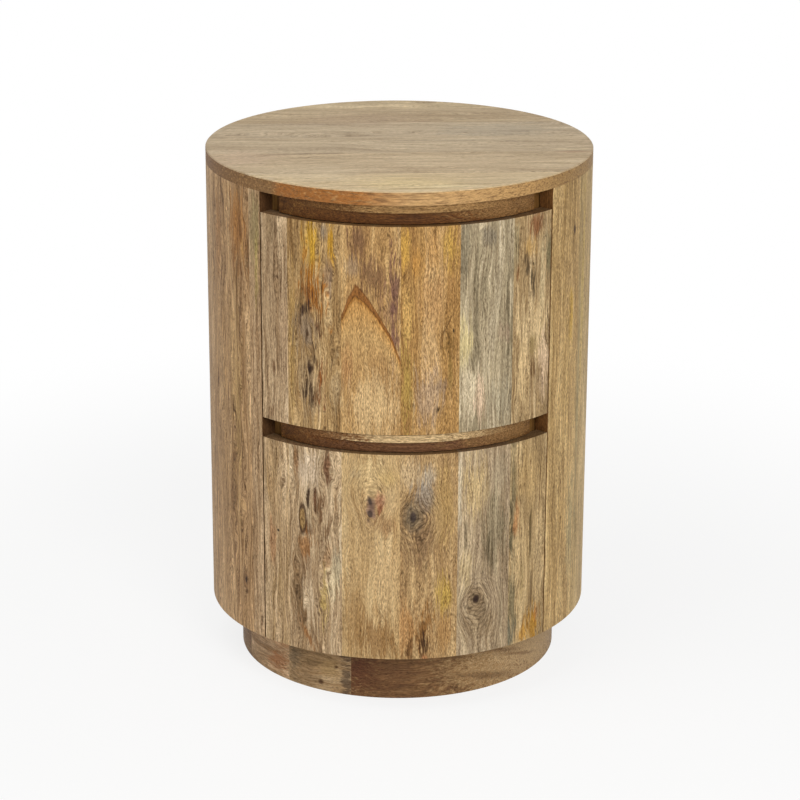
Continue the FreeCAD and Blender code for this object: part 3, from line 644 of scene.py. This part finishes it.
# Staves 1 and 2 stand right of the drawers, 12 to 14 left of them, and the others at the back.
SHELL = {
    "shell_stave_01": dict(
        tones=("#96794A", "#BB9C6A", "#D6B984"),
        # Its sides take a lighter painted shade, as the ends of the grooves beside it are lit from the right.
        edges="#6A4420", veins=0.5, fibre=0.64, lines=0.45, marks=[
            stain(16, 484, 1.8, 6, "#462B19", 0.95, fray=0.6),
            stain(12, 394, 5, 32, "#B59038", 0.75),
            stain(6, 330, 9, 80, "#B1935E", 0.5),
            stain(22, 160, 10, 60, "#9A8D69", 0.7),
            stain(-8, 240, 8, 90, "#B09464", 0.5)]),
    "shell_stave_02": dict(
        tones=("#927B4D", "#B89C6C", "#D4BA88"), veins=0.5, fibre=0.56, marks=[
            stain(-30, 300, 3, 160, "#978964", 0.7),
            stain(-22, 420, 4, 120, "#B79D52", 0.6)]),
    "shell_stave_03": dict(
        tones=("#7F6442", "#A0835B", "#B99C72"), marks=[
            stain(-4, 420, 12, 60, "#8F6A42", 0.6)]),
    "shell_stave_04": dict(
        tones=("#8E7450", "#AC916C", "#C6AC86"), marks=[
            knot(10, 330, 4.5, 7.0, "#43301F", "#8A6C48", 0.6)]),
    "shell_stave_05": dict(
        tones=("#957746", "#B5935B", "#CBAB75"), marks=[
            stain(-14, 250, 6, 120, "#C09440", 0.6),
            stain(18, 470, 10, 50, "#92795A", 0.6)]),
    "shell_stave_06": dict(
        tones=("#7E6B52", "#9E8A6D", "#B9A588"), marks=[
            stain(6, 180, 12, 70, "#857A66", 0.7)]),
    "shell_stave_07": dict(
        tones=("#8B6A42", "#AC8856", "#C6A472"), marks=[
            knot(-16, 210, 3.4, 5.6, "#3E2A1B", "#8F6A42", 0.6),
            stain(14, 390, 5, 90, "#8A5E36", 0.5)]),
    "shell_stave_08": dict(
        tones=("#8D7655", "#AE9672", "#C8B18C"), marks=[
            stain(-8, 450, 9, 60, "#8C7C64", 0.7)]),
    "shell_stave_09": dict(
        tones=("#94774A", "#B39260", "#C9AA78"), marks=[
            stain(10, 300, 7, 120, "#C0994C", 0.6)]),
    "shell_stave_10": dict(
        tones=("#806549", "#A08361", "#BA9D79"), marks=[
            knot(8, 400, 4.0, 6.4, "#46301F", "#876A4C", 0.6),
            stain(-18, 160, 8, 60, "#8B7458", 0.6)]),
    "shell_stave_11": dict(
        tones=("#8A7048", "#AA8D60", "#C2A678"), marks=[
            stain(0, 240, 14, 90, "#B08F58", 0.5)]),
    "shell_stave_12": dict(
        tones=("#927350", "#B5936A", "#CBAA80"),
        veins=0.7, fibre=0.64, lines=0.6, sway=20.0, curl=9.0, marks=[
            stain(28, 330, 5, 160, "#9C7A50", 0.5),
            stain(14, 470, 8, 60, "#9A6F42", 0.6)]),
    "shell_stave_13": dict(
        tones=("#8C6C46", "#B39169", "#CAAA80"),
        veins=0.85, fibre=0.68, lines=0.6, sway=22.0, curl=11.0, marks=[
            stain(1, 488, 17, 42, "#A0703C", 0.85),
            stain(8, 446, 1.5, 16, "#6A4626", 0.8, lean=-16),
            stain(-6, 440, 1.5, 18, "#70502C", 0.75, lean=12),
            stain(-4, 300, 10, 110, "#BC9C62", 0.5),
            stain(6, 492, 3, 20, "#694522", 0.75, lean=-8),
            stain(-4, 466, 2.4, 24, "#6E4A28", 0.7, lean=6),
            stain(9, 470, 3, 14, "#B58A50", 0.7),
            stain(-10, 380, 9, 60, "#BC9C70", 0.6),
            stain(5, 408, 2, 40, "#6E5030", 0.7, lean=4),
            stain(-2, 390, 1.6, 60, "#7A5C38", 0.65),
            stain(10, 330, 5, 70, "#8E6C44", 0.65),
            stain(2, 300, 2, 50, "#6C5030", 0.65, lean=-3),
            stain(-8, 240, 4, 60, "#8A6A46", 0.6),
            stain(7, 190, 6, 46, "#A8865E", 0.6),
            stain(4, 230, 1.6, 40, "#715434", 0.65, lean=3),
            knot(8.5, 114, 2.2, 4.6, "#2C1C13", "#7C5C3C", 0.7),
            stain(9.5, 101, 2.4, 3.6, "#4C311C", 0.85, fray=1.0)]),
    "shell_stave_14": dict(
        tones=("#8E704E", "#B39571", "#CAAE8A"), veins=0.6, fibre=0.64, curl=7.0, marks=[
            stain(0, 500, 8, 40, "#8E8058", 0.7),
            stain(3, 450, 3, 40, "#A08E50", 0.6),
            stain(2, 240, 2, 120, "#8D6F4C", 0.6)]),
}

# Staves are darker on their sawn ends, from end grain and from painted shade where the tops of the drawer
# fronts lie under the rails, and their sides take painted shade where they show in the gaps between parts.
STAVE_END_GRAIN_AND_SHADE = dict(ends="#573C22", edges="#4E3219")

# Segments 14 and 1 of the plinth stand in front on the left. Across is the height above the floor, and along
# is the way round the ring.
PLINTH = {
    "plinth_segment_14": dict(
        tones=("#96744E", "#BE9E78", "#D8B892"), marks=[
            stain(18, 20, 12, 16, "#A46B3F", 0.75),
            stain(40, 26, 7, 18, "#B27F53", 0.6),
            stain(34, -16, 9, 24, "#A3825F", 0.6)]),
    "plinth_segment_01": dict(
        tones=("#846A48", "#AE8E66", "#C2A680"), marks=[
            stain(30, -30, 26, 8, "#7D6A50", 0.75),
            stain(12, -12, 10, 18, "#8E7250", 0.6),
            stain(26, 14, 13, 13, "#AA8C60", 0.9, fray=2.0),
            stain(14, 34, 20, 6, "#5E4B39", 0.85),
            stain(44, 33, 10, 8, "#5A4634", 0.8),
            stain(29.5, 21.7, 1.8, 2.6, "#54371D", 0.9, fray=0.6),
            stain(9.3, 3.7, 3.0, 3.4, "#4F321B", 0.9, fray=0.8)]),
}

# Segments 2 to 5 were sawn in turn from one long board, so their grain and tone run on across the joints,
# from dark brown in the middle to tan on the right.
PLINTH_RUN_NODES = [f"plinth_segment_{number:02d}" for number in range(2, 6)]
PLINTH_RUN = dict(
    tones=("#66482F", "#84613E", "#9C7953"), figure=(8.0, 0.2), marks=[
        stain(30, -46, 24, 18, "#5C3622", 0.9),
        stain(22, -20, 22, 30, "#6C4A2E", 0.6),
        stain(30, 60, 30, 50, "#80603C", 0.5),
        stain(30, 96, 60, 60, "#A8885E", 0.9),
        stain(30, 172, 60, 84, "#BC9F76", 0.95),
        stain(14, 88, 4, 34, "#5E4228", 0.6, lean=-12),
        stain(40, 100, 2.5, 40, "#684A2E", 0.6, lean=-14),
        stain(24, 140, 2, 30, "#6E5032", 0.6, lean=-16),
        stain(46, 30, 2, 40, "#5A3C24", 0.6, lean=-8)])
# The other segments take these tones by turns.
PLINTH_BACK = [("#6E5134", "#8A6A48", "#9E7F5A"),
               ("#5E422A", "#775639", "#8B694A"),
               ("#7A5C3E", "#98785A", "#AD8E6C")]

# Heights of a rail's bottom, of the underside of its lip and of its top, and three tones: the lip's tone,
# partly painted light, for its middle, the painted shade of the finger hollow under the lip, and the painted
# shade at the left end.
RAILS = {
    "top_rail": dict(bottom=516, under=528, top=536, lip="#A07E50", pocket="#623C1A", left="#6C4822"),
    "middle_rail": dict(bottom=281, under=292, top=300, lip="#D0B486", pocket="#714E34", left="#74481E"),
}

# The top's boards from front to back, each with its start and its tone, and the tones of its rim from left
# to right.
TOP_BOARDS = [(-200, "#DAC195"), (-128, "#C3AB88"), (-42, "#B9A486"), (28, "#BBA78A"), (92, "#AF9672"),
              (157, "#CFB88F")]
TOP_RIM = [(-200, "#7C5730"), (-134, "#805C34"), (-126, "#985A1C"), (-50, "#A26222"), (0, "#CDA26C"),
           (120, "#BC925A"), (150, "#9E7A48"), (200, "#9B7B4A")]
TOP_MARKS_AND_HIGHLIGHT = [
    stain(-165, 5, 26, 60, "#DCC592", 0.7),
    # This pale streak near the front edge is a painted highlight.
    stain(-180, 36, 5, 46, "#EAD8AA", 0.6),
    stain(-172, -34, 1.8, 40, "#AC9064", 0.7),
    stain(-150, 20, 2, 50, "#B49A70", 0.6),
    stain(-187, 10, 1.6, 36, "#A4865A", 0.6),
    stain(-120, -95, 30, 60, "#CDB998", 0.6),
    stain(-60, -160, 30, 40, "#C4AA8E", 0.6),
    stain(105, -30, 30, 70, "#B39A7C", 0.6),
    stain(55, 110, 30, 70, "#A99B84", 0.6),
    stain(-150, 92, 30, 60, "#C6B08C", 0.5),
    stain(90, 15, 2.5, 34, "#D8C4A2", 0.8),
    stain(-32, 175, 2.5, 22, "#E0CCA6", 0.9),
    stain(-44, 178, 5, 20, "#9A7A5C", 0.6),
    stain(-42, -86, 2, 28, "#8A765C", 0.7),
    stain(32, -140, 3, 40, "#A08E74", 0.6),
    stain(10, 60, 4, 60, "#9C8C74", 0.5),
]


def middle_angle(node):
    """Angle of the middle of a stave or segment from the middle of the front, in radians."""
    points = [v.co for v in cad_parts[node].data.vertices]
    centre = Vector((sum(p.x for p in points), sum(p.y for p in points)))
    guess = math.atan2(centre.x, -centre.y)
    turns = [math.remainder(math.atan2(p.x, -p.y) - guess, 2 * math.pi) for p in points]
    return guess + (min(turns) + max(turns)) / 2


def wear(node, material):
    """Give a node its one material."""
    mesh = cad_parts[node].data
    mesh.materials.clear()
    mesh.materials.append(material)


def dress_staves():
    for index, (node, look) in enumerate((FRONTS | SHELL).items()):
        look = dict(seed=index * 11.3 + 2, angle=middle_angle(node)) | STAVE_END_GRAIN_AND_SHADE | look
        wear(node, mango(f"mango_satin_lacquer_{node}", "stave", **look))


def dress_plinth():
    nodes = sorted(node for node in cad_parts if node.startswith("plinth_segment"))
    for index, node in enumerate(nodes):
        if node in PLINTH_RUN_NODES:
            look = dict(seed=471.0, angle=0.0) | PLINTH_RUN
        else:
            look = PLINTH.get(node, dict(tones=PLINTH_BACK[index % len(PLINTH_BACK)]))
            look = dict(seed=440.0 + index * 5.7, angle=middle_angle(node)) | look
        wear(node, mango(f"mango_dark_satin_{node}", "ring", radius=PLINTH_RADIUS, sway=14.0,
                         drift=(16.0, 80.0), band=(4.0, 50.0), fibre=0.34, **look))


def dress_rails():
    """Rails lie along the drum's bow: a lip over a finger hollow. The lip's tone is partly its own and partly
    painted light in the middle, where it catches the lamps, and the hollow under it is painted shade.

    Both are darkest on the left and lighten to the right, with painted shade on the left end and painted
    light on the right.
    """
    for index, (node, rail) in enumerate(RAILS.items()):
        bottom, under, top = rail["bottom"], rail["under"], rail["top"]
        lip, pocket = rail["lip"], rail["pocket"]
        marks = [
            # The lip's tone, partly its own and partly painted light in the middle where it catches the
            # lamps.
            dict(kind="strip", low=under, high=top + 2, full=70, none=130, tone=lip, strength=0.85),
            # Painted shade in the finger hollow under the lip.
            dict(kind="strip", low=bottom - 2, high=under, full=80, none=135, tone=pocket, strength=0.8),
            # Painted shade on the left end, darkest low down, and painted light on the right.
            stain(under + 4, -88, 9, 50, rail["left"], 0.85),
            stain(bottom, -95, 14, 70, "#4E2E10", 0.5),
            stain(under - 2, 108, 14, 62, "#8C6A40", 0.75)]
        wear(node, mango(f"mango_satin_lacquer_{node}", "ring", tones=("#4E3012", "#6E4820", "#8C6534"),
                         seed=520.0 + index * 13, sway=3.0, curl=2.2, drift=(9.0, 120.0), band=(3.0, 70.0),
                         veins=0.7, marks=marks))


def dress_top():
    wear("top_panel", mango("mango_satin_lacquer_top", "board", tones=("#978262", "#C1AC8B", "#E2CFAB"),
                            seed=211.0, boards=TOP_BOARDS, rim=TOP_RIM, marks=TOP_MARKS_AND_HIGHLIGHT, sway=24.0, curl=6.0,
                            drift=(26.0, 240.0), band=(7.0, 130.0), veins=0.45, fibre=0.2, stroke=(1.2, 5.0),
                            flecks=0.15))


def dress_inside():
    """Drawer boxes, runners and bottom panel are sanded and left plain, and the partitions take a darker
    brown tone.
    """
    plain = dict(tones=("#A78B60", "#BFA376", "#D0B78D"), seed=301.0, flecks=0.2, fibre=0.16,
                 roughness=(0.62, 0.75))
    inner = mango("mango_sanded_plain", "board", **plain)
    side = mango("mango_sanded_side", "side", **plain)
    upright = mango("mango_dark_upright", "stave", tones=("#6E4C2A", "#86602F", "#9C7440"), seed=317.0,
                    flecks=0.25, fibre=0.2, roughness=(0.6, 0.72))
    steel = zinc_steel()
    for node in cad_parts:
        if node == "runner_screws":
            wear(node, steel)
        elif node.startswith("partition"):
            wear(node, upright)
        elif "runner" in node or "drawer_side" in node:
            wear(node, side)
        elif "drawer" in node or node == "bottom_panel":
            wear(node, inner)


# Stage

# Metres from the middle of the floor over which it lightens to white, and its share of white at the middle.
SHADOW_NEAR = 0.45
SHADOW_FAR = 1.1
SHADOW_WHITE = 0.82
# Strength of the light that the white studio sends on the object.
STUDIO_LIGHT = 0.42
LAMP_AIM = (0, 0, 0.3)
# Place in metres and angles in degrees of the camera, and its focal length in pixels of the picture.
CAMERA_PLACE = (0.00172, -2.75964, 1.2167)
CAMERA_TURN = -3.1
CAMERA_TILT = 18.943
CAMERA_ROLL = 0.234
FOCAL_LENGTH = 2737.6
PICTURE_WIDTH = 800
SENSOR_WIDTH = 36.0


def seen_directly(tree):
    """1 where the camera, a gloss or a glass shows a surface, and 0 where it only sends light on."""
    ray = add(tree, "ShaderNodeLightPath").outputs
    shown = ray["Is Camera Ray"]
    for kind in ("Is Glossy Ray", "Is Transmission Ray"):
        shown = add(tree, "ShaderNodeMath", {0: shown, 1: ray[kind]}, operation="MAXIMUM")
    return shown


def make_floor():
    """Matt white paper that holds the object's shadow and turns to plain white away from it."""
    bpy.ops.mesh.primitive_plane_add(size=24)
    floor = bpy.context.object
    floor.name = "studio_floor"
    material, tree = empty_material("matt_white_sweep")
    point = add(tree, "ShaderNodeTexCoord").outputs["Object"]
    far = add(tree, "ShaderNodeVectorMath", {0: point}, operation="LENGTH").outputs["Value"]
    white = add(tree, "ShaderNodeMapRange", {
        "Value": far, "From Min": SHADOW_NEAR, "From Max": SHADOW_FAR, "To Min": SHADOW_WHITE, "To Max": 1.0},
        interpolation_type="SMOOTHSTEP")
    lift = add(tree, "ShaderNodeMath", {0: seen_directly(tree), 1: white}, operation="MULTIPLY")
    matt = add(tree, "ShaderNodeBsdfDiffuse", {"Color": linear("#F5F5F3")})
    glow = add(tree, "ShaderNodeEmission", {"Color": linear("#FFFFFF"), "Strength": 1.0})
    mixed = add(tree, "ShaderNodeMixShader", {0: lift, 1: matt, 2: glow})
    add(tree, "ShaderNodeOutputMaterial", {"Surface": mixed})
    floor.data.materials.append(material)


def make_world():
    """A white studio that looks white and lights the object evenly."""
    world = bpy.data.worlds.new("white_studio")
    bpy.context.scene.world = world
    world.use_nodes = True
    tree = world.node_tree
    tree.nodes.clear()
    strength = add(tree, "ShaderNodeMapRange", {
        "Value": seen_directly(tree), "To Min": STUDIO_LIGHT, "To Max": 1.0})
    glow = add(tree, "ShaderNodeBackground", {"Color": linear("#FFFFFF"), "Strength": strength})
    add(tree, "ShaderNodeOutputWorld", {"Surface": glow})


def make_lamp(name, place, size, power):
    """A round softbox, with its place and size in metres and its power in watts."""
    lamp = bpy.data.lights.new(name, "AREA")
    lamp.shape = "DISK"
    lamp.size = size
    lamp.energy = power
    holder = bpy.data.objects.new(name, lamp)
    bpy.context.scene.collection.objects.link(holder)
    holder.location = place
    holder.rotation_mode = "QUATERNION"
    holder.rotation_quaternion = (Vector(LAMP_AIM) - Vector(place)).to_track_quat("-Z", "Y")


def make_camera():
    """The camera stands a little to the left of the middle of the front, well back and above the top."""
    turn = Matrix.Rotation(math.radians(CAMERA_TURN), 4, "Z")
    tilt = math.radians(CAMERA_TILT)
    roll = math.radians(CAMERA_ROLL)
    forward = Vector((0, math.cos(tilt), -math.sin(tilt)))
    level = Vector((1, 0, 0))
    upright = level.cross(forward)
    right = level * math.cos(roll) + upright * math.sin(roll)
    up = upright * math.cos(roll) - level * math.sin(roll)
    rows = Matrix((right, up, -forward)).transposed().to_4x4()
    lens = bpy.data.cameras.new("camera")
    lens.sensor_width = SENSOR_WIDTH
    lens.lens = FOCAL_LENGTH / PICTURE_WIDTH * SENSOR_WIDTH
    lens.clip_end = 50.0
    camera = bpy.data.objects.new("camera", lens)
    bpy.context.scene.collection.objects.link(camera)
    camera.matrix_world = turn @ Matrix.Translation(CAMERA_PLACE) @ rows
    bpy.context.scene.camera = camera


dress_staves()
dress_plinth()
dress_rails()
dress_top()
dress_inside()
make_floor()
make_world()
make_lamp("key_softbox", place=(0.7, -2.6, 1.8), size=1.4, power=38)
make_lamp("top_softbox", place=(-0.9, -0.6, 2.8), size=1.4, power=18)
make_camera()
bpy.context.scene.view_settings.view_transform = "Standard"
